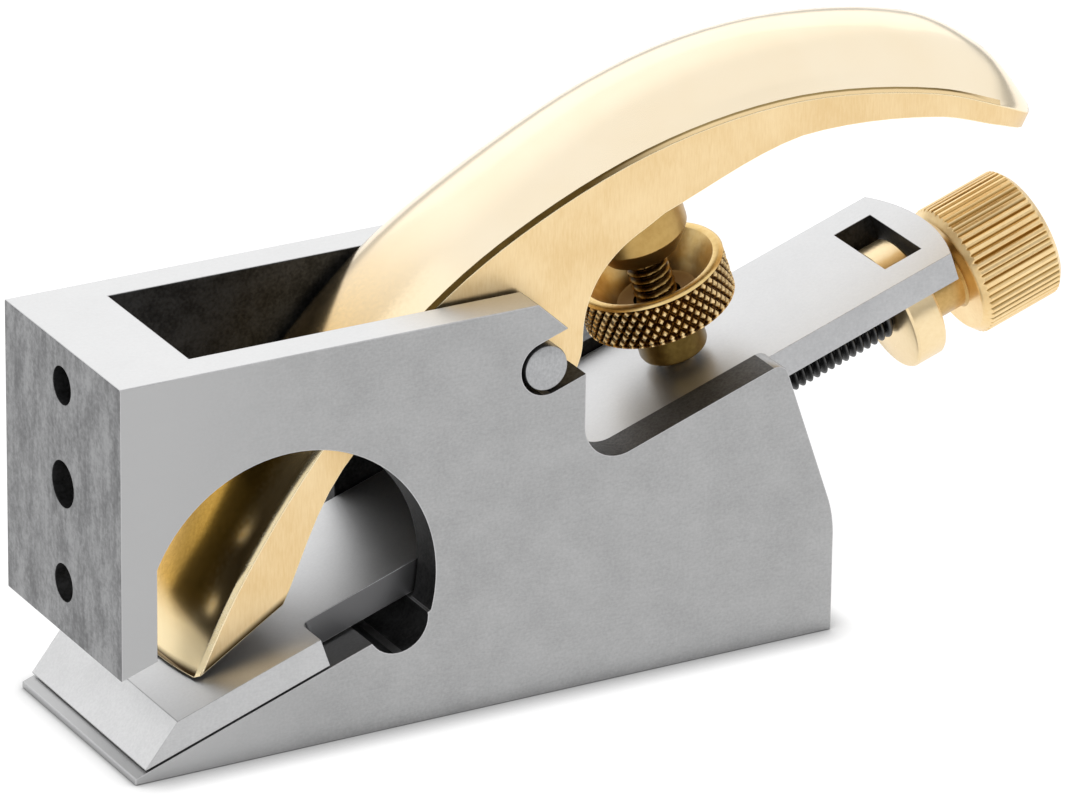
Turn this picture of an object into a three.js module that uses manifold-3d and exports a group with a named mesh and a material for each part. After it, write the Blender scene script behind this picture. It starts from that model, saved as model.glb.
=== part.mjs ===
// A shoulder plane with its nose piece taken off, so that it works as a chisel plane.
// Millimetres. X runs from toe to heel, Y across the body, Z up. The origin is the middle of the sole.
import * as THREE from 'three';
import { mergeVertices } from 'three/addons/utils/BufferGeometryUtils.js';
import Module from 'manifold-3d';

const wasm = await Module();
wasm.setup();

// Fits that several pieces share
const restGap = 0.3;
const slideGap = 0.3;
const pinGap = 0.3;
const overrun = 6;

// Body
const soleLength = 88.8;
const bodyWidth = 28.6;
const bodyHeight = 47.7;
const faceLead = 1.6;
const mouthHeight = 12.9;
const bedAngle = THREE.MathUtils.degToRad(19);
const soleLand = 0.75;
const frontWall = 10.6;
const cheekWall = 4.4;
const topLength = 51.7;
const notchSetback = 57.8;
const notchTopDrop = 5.7;
const notchFloorRise = 5.4;
const notchRadius = 4.3;
const rearFaceRun = 88.4;
const rearLipRadius = 1.5;
const heelRadius = 15;

// Round window through both cheeks, straight at the front, with a small relief at the back of the bed
const windowRadius = 18.05;
const windowSetback = 20.9;
const windowRise = 18;
const windowFront = 4.45;
const reliefRadius = 3.75;
const reliefAngle = THREE.MathUtils.degToRad(-21);

// Front face: two dowel holes and a threaded hole between them for the missing nose
const dowelRadius = 2.2;
const dowelRises = { upper: 42.8, lower: 19.1 };
const noseScrewRadius = 2.7;
const noseScrewRise = 31;

// Blade
const bladeThickness = 3.6;
const edgeSetback = 1.45;
const edgeLand = 0.12;
const bevelRun = 5.4;
const bladeHeadRun = 24.2;
const bladeLength = 114.2;
const bladeEndBow = 1.9;
const shoulderRadius = 1;
const driveHoleSetback = 105.6;
const driveHoleLength = 5;
const driveHoleWidth = 11.4;

// Lever cap and its pivot
const leverSideGap = 0.6;
const leverReach = 110.8;
const leverRise = 55.5;
const leverThickness = 9;
const crownHeight = 5.6;
const arrisBreak = 0.5;
const noseRun = 12;
const noseLandLength = 0.6;
const noseReliefAngle = THREE.MathUtils.degToRad(13.5);
const noseReliefLength = 18;
const pinRun = 61.1;
const pinRise = 20.35;
const pinRadius = 2.7;
const pinChamfer = 0.3;
const pinSlotRadius = 3.15;
const pinSlotLength = 12;
const lugRadius = 7.4;
const webReach = 18.7;
const webRise = 26.8;
const webCover = 3.7;

// Thumb screw that bears on the blade
const screwSetback = 20.7;
const bossRadius = 6;
const bossFootRadius = 4.4;
const bossTaper = 2.5;
const bossFootRise = 18.9;
const bossRootRise = 29;
const wheelRadius = 8.8;
const wheelFootRise = 10.6;
const wheelHeight = 6;
const wheelChamfer = 0.5;
const wheelFootChamfer = 1;
const rimLip = 0.9;
const dishDepth = 4.2;
const dishFloorRadius = 4.6;
const hubRadius = 4;
const hubFootRise = 4.9;
const hubChamfer = 0.7;
const studRadius = 2.5;
const studTopRise = 24.6;
const studTipRadius = 1.9;
const studTipLength = 2.4;
const studDome = 0.35;
const studTravel = 1.3;

// Adjuster: threaded rod, collar in the blade's hole, fluted knob
const rodRadius = 3;
const rodDrop = 4.7;
const rodRun = 64;
const rodBoreSlack = 6;
const spigotRadius = 2;
const spigotLength = 12.6;
const collarRadius = 7.4;
const collarThickness = 4.1;
const collarChamfer = 0.4;
const neckRadius = 4;
const knobGap = 1.1;
const knobRadius = 8;
const knobLength = 11;
const knobChamfer = 0.8;
const fluteCount = 32;
const fluteDepth = 0.45;
const fluteCrestShare = 0.45;

// Places that follow from these sizes
const toeX = -soleLength / 2;
const heelX = soleLength / 2;
const faceX = toeX - faceLead;
const slotWidth = bodyWidth - 2 * cheekWall;
const bladeTop = restGap + bladeThickness;
const bladeWidth = bodyWidth;
const shankWidth = slotWidth - 2 * slideGap;
const leverWidth = slotWidth - 2 * leverSideGap;
const screwRun = pinRun + screwSetback;
const seatRise = bladeTop + restGap;
const bladeEndRun = edgeSetback + bladeLength;
const collarRun = edgeSetback + driveHoleSetback + (driveHoleLength - collarThickness) / 2;
const knobRun = bladeEndRun + knobGap;
const windowCentre = new THREE.Vector2(faceX + windowSetback, windowRise);

// The bed's own frame: run is measured up the slope from the toe, rise square to it
const bedFrame = new THREE.Matrix4().makeRotationY(-bedAngle).setPosition(toeX, 0, soleLand);

function onBed(run, rise) {
  const point = new THREE.Vector3(run, 0, rise).applyMatrix4(bedFrame);
  return new THREE.Vector2(point.x, point.z);
}

function bedHeightAt(x, rise) {
  return soleLand + (x - toeX) * Math.tan(bedAngle) + rise / Math.cos(bedAngle);
}

function mouthHeightAt(x) {
  return mouthHeight + (x - faceX) * Math.tan(bedAngle);
}

// Solids: geometry to manifold and back
function solid(geometry) {
  const bare = geometry.clone();
  bare.deleteAttribute('normal');
  bare.deleteAttribute('uv');
  const merged = mergeVertices(bare);
  const vertProperties = new Float32Array(merged.attributes.position.array);
  const triVerts = new Uint32Array(merged.index.array);
  return new wasm.Manifold(new wasm.Mesh({ numProp: 3, vertProperties, triVerts }));
}

function geometryOf(manifold) {
  const mesh = manifold.getMesh();
  const geometry = new THREE.BufferGeometry();
  geometry.setAttribute('position', new THREE.BufferAttribute(mesh.vertProperties, mesh.numProp));
  geometry.setIndex(new THREE.BufferAttribute(mesh.triVerts, 1));
  return geometry;
}

// A side outline in X and Z, extruded across Y and centred
function acrossWidth(shape, width, curveSegments = 24) {
  const geometry = new THREE.ExtrudeGeometry(shape, { depth: width, bevelEnabled: false, curveSegments });
  geometry.rotateX(Math.PI / 2);
  return geometry.translate(0, width / 2, 0);
}

function plate(corners, width) {
  return acrossWidth(new THREE.Shape(corners), width);
}

function bar(length, width, height) {
  return new THREE.BoxGeometry(length, width, height);
}

function crossBar(centre, radius, width, segments = 64) {
  return new THREE.CylinderGeometry(radius, radius, width, segments).translate(centre.x, 0, centre.y);
}

// A profile of radius and height turned about the vertical, or about the length
function turnedUpright(profile, segments = 64) {
  return new THREE.LatheGeometry(profile.map(([r, h]) => new THREE.Vector2(r, h)), segments)
    .rotateX(Math.PI / 2);
}

function turnedAlong(profile, segments = 64) {
  return new THREE.LatheGeometry(profile.map(([r, h]) => new THREE.Vector2(r, h)), segments)
    .rotateZ(-Math.PI / 2);
}

// An outline whose corners may be rounded: each corner is a point and a radius
function roundedShape(corners) {
  const shape = new THREE.Shape();
  corners.forEach(({ at, radius = 0 }, index) => {
    const before = corners.at(index - 1).at;
    const after = corners[(index + 1) % corners.length].at;
    const inward = before.clone().sub(at).normalize();
    const outward = after.clone().sub(at).normalize();
    const half = Math.acos(THREE.MathUtils.clamp(inward.dot(outward), -1, 1)) / 2;
    const start = at.clone().addScaledVector(inward, radius / Math.tan(half));
    if (index === 0) shape.moveTo(start.x, start.y);
    else shape.lineTo(start.x, start.y);
    if (radius > 0) {
      const centre = at.clone().add(
        inward.clone().add(outward).normalize().multiplyScalar(radius / Math.sin(half)));
      const end = at.clone().addScaledVector(outward, radius / Math.tan(half));
      const turnsLeft = inward.cross(outward) < 0;
      shape.absarc(centre.x, centre.y, radius,
        Math.atan2(start.y - centre.y, start.x - centre.x),
        Math.atan2(end.y - centre.y, end.x - centre.x), !turnsLeft);
    }
  });
  shape.closePath();
  return shape;
}

// Body: one steel block. The outline is cut by the mouth and window, the slot for the blade,
// the open pin slots, the adjuster's hole and the holes of the front face.
function bodyOutline() {
  const notchX = faceX + notchSetback;
  const heelCornerHeight = onBed(rearFaceRun, 0).y - (heelX - onBed(rearFaceRun, 0).x) / Math.tan(bedAngle);
  return roundedShape([
    { at: new THREE.Vector2(toeX, 0) },
    { at: new THREE.Vector2(heelX, 0) },
    { at: new THREE.Vector2(heelX, heelCornerHeight), radius: heelRadius },
    { at: onBed(rearFaceRun, notchFloorRise), radius: rearLipRadius },
    { at: new THREE.Vector2(notchX, bedHeightAt(notchX, notchFloorRise)), radius: notchRadius },
    { at: new THREE.Vector2(notchX, bodyHeight - notchTopDrop) },
    { at: new THREE.Vector2(faceX + topLength, bodyHeight) },
    { at: new THREE.Vector2(faceX, bodyHeight) },
    { at: new THREE.Vector2(faceX, mouthHeight) },
    { at: new THREE.Vector2(toeX, mouthHeight) },
  ]);
}

function mouthAndWindow() {
  const wide = bodyWidth + overrun;
  const mouthEnd = windowCentre.x;
  const mouth = solid(plate([
    new THREE.Vector2(faceX - overrun, -overrun),
    new THREE.Vector2(mouthEnd, -overrun),
    new THREE.Vector2(mouthEnd, mouthHeightAt(mouthEnd)),
    new THREE.Vector2(faceX - overrun, mouthHeightAt(faceX - overrun)),
  ], wide));
  const frontLength = windowSetback + windowFront;
  const front = bar(frontLength, wide + overrun, bodyHeight + overrun)
    .translate(faceX + windowFront - frontLength / 2, 0, windowRise);
  const bed = solid(plate([
    new THREE.Vector2(faceX - overrun, -windowRadius),
    new THREE.Vector2(heelX, -windowRadius),
    new THREE.Vector2(heelX, bedHeightAt(heelX, 0)),
    new THREE.Vector2(faceX - overrun, bedHeightAt(faceX - overrun, 0)),
  ], wide + overrun));
  const reliefOffset = windowRadius - reliefRadius;
  const reliefCentre = windowCentre.clone().add(
    new THREE.Vector2(Math.cos(reliefAngle), Math.sin(reliefAngle)).multiplyScalar(reliefOffset));
  return solid(crossBar(windowCentre, windowRadius, wide, 96))
    .subtract(solid(front))
    .add(mouth)
    .subtract(bed)
    .add(solid(crossBar(reliefCentre, reliefRadius, wide, 40)));
}

function bladeSlot() {
  const slotX = faceX + frontWall;
  return solid(plate([
    new THREE.Vector2(slotX, bedHeightAt(slotX, 0)),
    new THREE.Vector2(heelX + overrun, bedHeightAt(heelX + overrun, 0)),
    new THREE.Vector2(heelX + overrun, bodyHeight + overrun),
    new THREE.Vector2(slotX, bodyHeight + overrun),
  ], slotWidth));
}

function pinSlots() {
  const wide = bodyWidth + overrun;
  const end = new THREE.CylinderGeometry(pinSlotRadius, pinSlotRadius, wide, 40).translate(pinRun, 0, pinRise);
  const way = bar(pinSlotLength, wide, 2 * pinSlotRadius).translate(pinRun + pinSlotLength / 2, 0, pinRise);
  return solid(end.applyMatrix4(bedFrame)).add(solid(way.applyMatrix4(bedFrame)));
}

function adjusterBore() {
  const start = rodRun - rodBoreSlack;
  const length = rearFaceRun + overrun - start;
  const radius = rodRadius + slideGap;
  return solid(new THREE.CylinderGeometry(radius, radius, length, 40)
    .rotateZ(Math.PI / 2)
    .translate(start + length / 2, 0, -rodDrop)
    .applyMatrix4(bedFrame));
}

function faceHole(radius, rise) {
  const length = frontWall + 2 * overrun;
  return solid(new THREE.CylinderGeometry(radius, radius, length, 32)
    .rotateZ(Math.PI / 2)
    .translate(faceX + frontWall / 2, 0, rise));
}

function planeBody() {
  return solid(acrossWidth(bodyOutline(), bodyWidth))
    .subtract(mouthAndWindow())
    .subtract(bladeSlot())
    .subtract(pinSlots())
    .subtract(adjusterBore())
    .subtract(faceHole(dowelRadius, dowelRises.upper))
    .subtract(faceHole(dowelRadius, dowelRises.lower))
    .subtract(faceHole(noseScrewRadius, noseScrewRise));
}

// Blade, in the bed's frame: its side view crossed with its plan
function blade() {
  const side = plate([
    new THREE.Vector2(edgeSetback, restGap),
    new THREE.Vector2(bladeEndRun + overrun, restGap),
    new THREE.Vector2(bladeEndRun + overrun, bladeTop),
    new THREE.Vector2(edgeSetback + bevelRun, bladeTop),
    new THREE.Vector2(edgeSetback, restGap + edgeLand),
  ], bladeWidth + overrun);
  const headEnd = edgeSetback + bladeHeadRun;
  const cornerRun = bladeEndRun - bladeEndBow;
  const half = shankWidth / 2;
  const plan = roundedShape([
    { at: new THREE.Vector2(edgeSetback - overrun, -bladeWidth / 2) },
    { at: new THREE.Vector2(headEnd, -bladeWidth / 2) },
    { at: new THREE.Vector2(headEnd, -half), radius: shoulderRadius },
    { at: new THREE.Vector2(bladeEndRun + overrun, -half) },
    { at: new THREE.Vector2(bladeEndRun + overrun, half) },
    { at: new THREE.Vector2(headEnd, half), radius: shoulderRadius },
    { at: new THREE.Vector2(headEnd, bladeWidth / 2) },
    { at: new THREE.Vector2(edgeSetback - overrun, bladeWidth / 2) },
  ]);
  const thick = bladeTop + 2 * overrun;
  const planSolid = new THREE.ExtrudeGeometry(plan, { depth: thick, bevelEnabled: false, curveSegments: 8 })
    .translate(0, 0, -overrun);
  const endRadius = (half * half + bladeEndBow * bladeEndBow) / (2 * bladeEndBow);
  const endCentre = cornerRun + bladeEndBow - endRadius;
  const endDisc = new THREE.CylinderGeometry(endRadius, endRadius, thick, 128)
    .rotateX(Math.PI / 2)
    .translate(endCentre, 0, 0);
  const keep = bar(endCentre - edgeSetback + overrun, bladeWidth + overrun, thick)
    .translate((endCentre + edgeSetback - overrun) / 2, 0, 0);
  const hole = bar(driveHoleLength, driveHoleWidth, thick)
    .translate(edgeSetback + driveHoleSetback + driveHoleLength / 2, 0, 0);
  return solid(side)
    .intersect(solid(planSolid))
    .intersect(solid(endDisc).add(solid(keep)))
    .subtract(solid(hole));
}

// Lever cap: a bar lofted along its upper arris. The stations run from the nose to the tail;
// each gives the arris, the depth of the side below it and the height of the crown above it.
const arrisShares = [
  [-0.011, -0.047], [0, 0], [0.043, 0.173], [0.136, 0.441], [0.262, 0.699],
  [0.385, 0.85], [0.536, 0.962], [0.69, 1], [0.85, 0.958], [0.93, 0.899], [1, 0.826],
];
const thicknessShares = [0.72, 0.73, 0.755, 0.48, 0.66, 0.98, 0.89, 0.53, 0.375, 0.32, 0.275];
const crownShares = [0.05, 0.1, 0.25, 0.36, 0.44, 0.58, 0.87, 1.04, 1.07, 0.77, 0.05];
const tailStartShare = 0.844;
const tailTipShare = 0.97;

function leverSection(half, depth, crown) {
  const chord = half - arrisBreak;
  const swing = 2 * Math.atan(crown / chord);
  const radius = chord / Math.sin(swing);
  const ring = [[-half, -depth], [half, -depth], [half, -arrisBreak]];
  const crownSteps = 14;
  for (let step = 0; step <= crownSteps; step += 1) {
    const angle = swing * (1 - 2 * step / crownSteps);
    ring.push([radius * Math.sin(angle), radius * (Math.cos(angle) - Math.cos(swing))]);
  }
  ring.push([-half, -arrisBreak]);
  return ring;
}

function leverLoft() {
  const seat = onBed(noseRun, seatRise);
  const arris = new THREE.CatmullRomCurve3(arrisShares.map(([along, up]) =>
    new THREE.Vector3(seat.x + along * leverReach, 0, seat.y + up * leverRise)));
  const form = new THREE.CatmullRomCurve3(thicknessShares.map((share, index) =>
    new THREE.Vector3(0, share * leverThickness, crownShares[index] * crownHeight)));
  const stations = 60;
  const points = [];
  let ringLength = 0;
  for (let station = 0; station <= stations; station += 1) {
    const share = station / stations;
    const here = arris.getPoint(share);
    const ahead = arris.getTangent(share);
    const side = form.getPoint(share);
    const tail = Math.max(0, (share - tailStartShare) / (1 - tailStartShare)) * tailTipShare;
    const half = leverWidth / 2 * Math.sqrt(1 - tail * tail);
    const ring = leverSection(half, side.y, side.z);
    ringLength = ring.length;
    for (const [across, up] of ring) {
      points.push(here.x - ahead.z * up, across, here.z + ahead.x * up);
    }
  }
  return loft(points, ringLength, stations);
}

// Rings of equal length, one after another, joined into a closed skin with flat ends
function loft(points, ringLength, steps) {
  const faces = [];
  for (let step = 0; step < steps; step += 1) {
    for (let side = 0; side < ringLength; side += 1) {
      const next = (side + 1) % ringLength;
      const a = step * ringLength + side;
      const b = step * ringLength + next;
      faces.push(a, b, a + ringLength, b, b + ringLength, a + ringLength);
    }
  }
  const last = steps * ringLength;
  for (let side = 1; side < ringLength - 1; side += 1) {
    faces.push(0, side + 1, side);
    faces.push(last, last + side, last + side + 1);
  }
  const geometry = new THREE.BufferGeometry();
  geometry.setAttribute('position', new THREE.BufferAttribute(new Float32Array(points), 3));
  geometry.setIndex(faces);
  return geometry;
}

function leverCap() {
  const pin = onBed(pinRun, pinRise);
  const web = new THREE.Shape();
  const webTop = onBed(pinRun + webReach, webRise);
  web.moveTo(pin.x - lugRadius, pin.y + lugRadius);
  web.lineTo(pin.x - lugRadius, pin.y);
  web.absarc(pin.x, pin.y, lugRadius, Math.PI, 2 * Math.PI, false);
  web.quadraticCurveTo(pin.x + lugRadius, webTop.y - webCover, webTop.x, webTop.y);
  web.lineTo(webTop.x - webCover, webTop.y + webCover);
  web.closePath();
  const boss = turnedUpright([
    [0, bossFootRise],
    [bossFootRadius, bossFootRise],
    [bossRadius, bossFootRise + bossTaper],
    [bossRadius, bossRootRise],
    [0, bossRootRise],
  ], 48).translate(screwRun, 0, 0);
  const boreRadius = studRadius + slideGap;
  const boreTop = studTopRise + studTravel + restGap;
  const boreFoot = bossFootRise - overrun;
  const bore = new THREE.CylinderGeometry(boreRadius, boreRadius, boreTop - boreFoot, 32)
    .rotateX(Math.PI / 2)
    .translate(screwRun, 0, (boreTop + boreFoot) / 2);
  const wide = leverWidth + overrun;
  const landEnd = noseRun + noseLandLength;
  const below = leverThickness;
  const underNose = bar(pinRun, wide, seatRise + below)
    .translate(pinRun / 2, 0, (seatRise - below) / 2);
  const underRelief = bar(noseReliefLength, wide, below)
    .translate(noseReliefLength / 2, 0, -below / 2)
    .rotateY(-noseReliefAngle)
    .translate(landEnd, 0, seatRise);
  return solid(leverLoft())
    .add(solid(acrossWidth(web, leverWidth)))
    .add(solid(boss.applyMatrix4(bedFrame)))
    .subtract(solid(bore.applyMatrix4(bedFrame)))
    .subtract(solid(crossBar(pin, pinRadius + pinGap, wide, 40)))
    .subtract(solid(underNose.applyMatrix4(bedFrame)))
    .subtract(solid(underRelief.applyMatrix4(bedFrame)));
}

function pivotPin() {
  const half = bodyWidth / 2;
  return new THREE.LatheGeometry([
    new THREE.Vector2(0, -half),
    new THREE.Vector2(pinRadius - pinChamfer, -half),
    new THREE.Vector2(pinRadius, -half + pinChamfer),
    new THREE.Vector2(pinRadius, half - pinChamfer),
    new THREE.Vector2(pinRadius - pinChamfer, half),
    new THREE.Vector2(0, half),
  ], 40);
}

// Thumb wheel: a dished rim on a hub, bored for the stud
function thumbWheel() {
  const rimTop = wheelFootRise + wheelHeight;
  const bore = studRadius + slideGap;
  const dishFloor = rimTop - dishDepth;
  return turnedUpright([
    [bore, hubFootRise],
    [hubRadius - hubChamfer, hubFootRise],
    [hubRadius, hubFootRise + hubChamfer],
    [hubRadius, wheelFootRise],
    [wheelRadius - wheelFootChamfer, wheelFootRise],
    [wheelRadius, wheelFootRise + wheelFootChamfer],
    [wheelRadius, rimTop - wheelChamfer],
    [wheelRadius - wheelChamfer, rimTop],
    [wheelRadius - wheelChamfer - rimLip, rimTop],
    [dishFloorRadius + rimLip, dishFloor + rimLip],
    [dishFloorRadius, dishFloor],
    [bore, dishFloor],
    [bore, hubFootRise],
  ], 72);
}

function thumbStud() {
  const tip = seatRise;
  return turnedUpright([
    [0, tip],
    [studTipRadius - studDome, tip],
    [studTipRadius, tip + studDome],
    [studTipRadius, tip + studTipLength],
    [studRadius, tip + studTipLength],
    [studRadius, studTopRise - studDome],
    [studRadius - studDome, studTopRise],
    [0, studTopRise],
  ], 32);
}

// Adjuster pieces, turned about the rod's own axis
function adjusterRod() {
  return turnedAlong([
    [0, rodRun],
    [rodRadius - collarChamfer, rodRun],
    [rodRadius, rodRun + collarChamfer],
    [rodRadius, collarRun - restGap],
    [spigotRadius, collarRun - restGap],
    [spigotRadius, collarRun + spigotLength],
    [0, collarRun + spigotLength],
  ], 40);
}

function adjusterCollar() {
  const bore = spigotRadius + slideGap;
  const end = collarRun + collarThickness;
  return turnedAlong([
    [bore, collarRun],
    [collarRadius - collarChamfer, collarRun],
    [collarRadius, collarRun + collarChamfer],
    [collarRadius, end - collarChamfer],
    [collarRadius - collarChamfer, end],
    [bore, end],
    [bore, collarRun],
  ], 56);
}

function flutedOutline() {
  const shape = new THREE.Shape();
  const pitch = 2 * Math.PI / fluteCount;
  for (let flute = 0; flute < fluteCount; flute += 1) {
    const corners = [
      [knobRadius, 0],
      [knobRadius, fluteCrestShare * pitch],
      [knobRadius - fluteDepth, (1 + fluteCrestShare) / 2 * pitch],
    ];
    for (const [radius, turn] of corners) {
      const angle = flute * pitch + turn;
      const corner = [radius * Math.cos(angle), radius * Math.sin(angle)];
      if (flute === 0 && turn === 0) shape.moveTo(...corner);
      else shape.lineTo(...corner);
    }
  }
  shape.closePath();
  return shape;
}

function adjusterKnob() {
  const knobEnd = knobRun + knobLength;
  const grip = new THREE.ExtrudeGeometry(flutedOutline(), { depth: knobLength, bevelEnabled: false })
    .rotateY(Math.PI / 2)
    .translate(knobRun, 0, 0);
  const blank = turnedAlong([
    [0, knobRun],
    [knobRadius - knobChamfer, knobRun],
    [knobRadius, knobRun + knobChamfer],
    [knobRadius, knobEnd - knobChamfer],
    [knobRadius - knobChamfer, knobEnd],
    [0, knobEnd],
  ], 2 * fluteCount);
  const neckStart = collarRun + collarThickness + restGap;
  const neck = turnedAlong([
    [0, neckStart],
    [neckRadius, neckStart],
    [neckRadius, knobRun + knobChamfer],
    [0, knobRun + knobChamfer],
  ], 40);
  const boreEnd = collarRun + spigotLength + restGap;
  const bore = turnedAlong([
    [0, neckStart - overrun],
    [spigotRadius + slideGap, neckStart - overrun],
    [spigotRadius + slideGap, boreEnd],
    [0, boreEnd],
  ], 32);
  return solid(grip)
    .intersect(solid(blank))
    .add(solid(neck))
    .subtract(solid(bore));
}

// Finishes
const steel = () => new THREE.MeshStandardMaterial({ color: 0xa9abad, roughness: 0.45, metalness: 0.9 });
const brightSteel = () => new THREE.MeshStandardMaterial({ color: 0xd4d6d8, roughness: 0.3, metalness: 0.9 });
const darkSteel = () => new THREE.MeshStandardMaterial({ color: 0x26292b, roughness: 0.5, metalness: 0.8 });
const polishedBrass = () => new THREE.MeshStandardMaterial({ color: 0xe8c689, roughness: 0.2, metalness: 1 });
const turnedBrass = () => new THREE.MeshStandardMaterial({ color: 0xb08a3c, roughness: 0.35, metalness: 1 });

function piece(name, geometry, material) {
  const mesh = new THREE.Mesh(geometry, material);
  mesh.name = name;
  return mesh;
}

// Assembly: the blade and adjuster lie in the bed's frame, the adjuster on its own axis below it
const bed = new THREE.Group();
bed.position.set(toeX, 0, soleLand);
bed.rotation.y = -bedAngle;
bed.add(piece('blade', geometryOf(blade()), brightSteel()));
bed.add(piece('thumb_wheel', thumbWheel().translate(screwRun, 0, 0), turnedBrass()));
bed.add(piece('thumb_stud', thumbStud().translate(screwRun, 0, 0), darkSteel()));

const adjuster = new THREE.Group();
adjuster.position.z = -rodDrop;
adjuster.add(piece('adjuster_rod', adjusterRod(), darkSteel()));
adjuster.add(piece('adjuster_collar', adjusterCollar(), polishedBrass()));
adjuster.add(piece('adjuster_knob', geometryOf(adjusterKnob()), polishedBrass()));
bed.add(adjuster);

const pin = piece('pivot_pin', pivotPin(), steel());
pin.position.set(onBed(pinRun, pinRise).x, 0, onBed(pinRun, pinRise).y);

const plane = new THREE.Group();
plane.add(piece('plane_body', geometryOf(planeBody()), steel()));
plane.add(bed);
plane.add(piece('lever_cap', geometryOf(leverCap()), polishedBrass()));
plane.add(pin);

export default plane;
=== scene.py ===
# %% [markdown]
# A shoulder plane with its nose piece taken off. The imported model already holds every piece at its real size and
# place, so this lesson adds what a solid model leaves out: broken edges, threads, knurls, and the way ground steel
# and polished brass take the light. All sizes are in millimetres until they are multiplied by MM, because Blender
# works in metres.

# %% Load the frame
import math

import bpy
import numpy as np
from mathutils import Matrix, Vector


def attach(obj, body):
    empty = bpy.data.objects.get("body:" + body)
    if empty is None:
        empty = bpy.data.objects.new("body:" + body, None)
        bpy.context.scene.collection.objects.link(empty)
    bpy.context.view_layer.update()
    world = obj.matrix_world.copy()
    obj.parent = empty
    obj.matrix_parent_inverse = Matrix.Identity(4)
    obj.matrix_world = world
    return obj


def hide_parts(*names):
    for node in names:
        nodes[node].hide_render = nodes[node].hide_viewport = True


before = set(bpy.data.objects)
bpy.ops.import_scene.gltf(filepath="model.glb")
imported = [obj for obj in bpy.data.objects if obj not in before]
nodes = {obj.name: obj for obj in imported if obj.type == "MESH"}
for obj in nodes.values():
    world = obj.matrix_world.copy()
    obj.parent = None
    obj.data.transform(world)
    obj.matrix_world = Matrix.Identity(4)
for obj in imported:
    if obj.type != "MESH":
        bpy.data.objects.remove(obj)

MM = 0.001
origin = Vector((0, 0, 0))
to_heel = Vector((1, 0, 0))
to_far_side = Vector((0, 1, 0))
upwards = Vector((0, 0, 1))
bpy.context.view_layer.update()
print("nodes:", sorted(nodes))

# %% [markdown]
# The photograph was taken from in front and to the left, through a long lens. The camera's place and turn were
# solved from the body's straight edges, so the render can be laid over the photograph edge for edge. The camera is
# built from three directions: where it looks, what is right, and what is up.

# %% Camera
azimuth = math.radians(29.13)
elevation = math.radians(23.5)
roll = math.radians(0.72)
camera_place = Vector((-440.11, -813.54, 434.21)) * MM

level_right = Vector((math.cos(azimuth), -math.sin(azimuth), 0))
look = Vector((
    math.sin(azimuth) * math.cos(elevation),
    math.cos(azimuth) * math.cos(elevation),
    -math.sin(elevation),
))
level_up = level_right.cross(look)
right = math.cos(roll) * level_right + math.sin(roll) * level_up
up = math.cos(roll) * level_up - math.sin(roll) * level_right

bpy.ops.object.camera_add()
camera = bpy.context.object
camera.name = "camera"
camera.matrix_world = Matrix.Translation(camera_place) @ Matrix((right, up, -look)).transposed().to_4x4()
camera.data.sensor_width = 36
camera.data.lens = 302.8
camera.data.clip_end = 20
bpy.context.scene.camera = camera
print("camera looks along", [round(value, 3) for value in look])

# %% [markdown]
# The blade lies on a bed that climbs 19 degrees from the toe. The thumb screw stands square to that bed and the
# adjuster runs along it, so their pieces are made upright at the origin and then laid in the bed's own frame. A
# place over the bed is given by its run, along the bed from the toe, and its rise, square off it.

# %% The bed's frame
bed_angle = math.radians(19)
toe = Vector((-44.4, 0, 0.75))
along_bed = Vector((math.cos(bed_angle), 0, math.sin(bed_angle)))
off_bed = Vector((-math.sin(bed_angle), 0, math.cos(bed_angle)))
bed = Matrix.Translation(toe * MM) @ Matrix.Rotation(-bed_angle, 4, "Y")
screw_run = 81.8
rod_drop = 4.7
on_screw_axis = bed @ Matrix.Translation(Vector((screw_run, 0, 0)) * MM)
on_rod_axis = bed @ Matrix.Translation(Vector((0, 0, -rod_drop)) * MM) @ Matrix.Rotation(math.pi / 2, 4, "Y")


def over_bed(place):
    """The run and the rise of a place that is given in millimetres."""
    from_toe = place - toe
    return from_toe.dot(along_bed), from_toe.dot(off_bed)


print("rod axis points along", [round(value, 3) for value in on_rod_axis.to_3x3() @ upwards])

# %% [markdown]
# Shader maths reads best as plain arithmetic. A Channel wraps one output of a node, and adding or multiplying two
# channels puts the matching Math node between them. The reflected forms let a bare number stand first.

# %% Shader maths
class Channel:
    def __init__(self, owner, socket):
        self.owner = owner
        self.socket = socket

    def _math(self, operation, first, second):
        return self.owner.add("ShaderNodeMath", {"operation": operation}, {0: first, 1: second})

    def __add__(self, other):
        return self._math("ADD", self, other)

    def __radd__(self, other):
        return self._math("ADD", other, self)

    def __sub__(self, other):
        return self._math("SUBTRACT", self, other)

    def __rsub__(self, other):
        return self._math("SUBTRACT", other, self)

    def __mul__(self, other):
        return self._math("MULTIPLY", self, other)

    def __rmul__(self, other):
        return self._math("MULTIPLY", other, self)

    def __pow__(self, other):
        return self._math("POWER", self, other)

    def above(self, level, softness):
        """0 below the level and 1 above it, with a soft step between."""
        settings = {"interpolation_type": "SMOOTHSTEP"}
        inputs = {"Value": self, "From Min": level - softness, "From Max": level + softness}
        return self.owner.add("ShaderNodeMapRange", settings, inputs)

# %% [markdown]
# A NodeTree makes every other node. The settings go first, because some of them change which sockets the node has,
# and then each socket gets a value or a link. The floor and the room use it too, so what only a surface has comes
# later.

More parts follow.
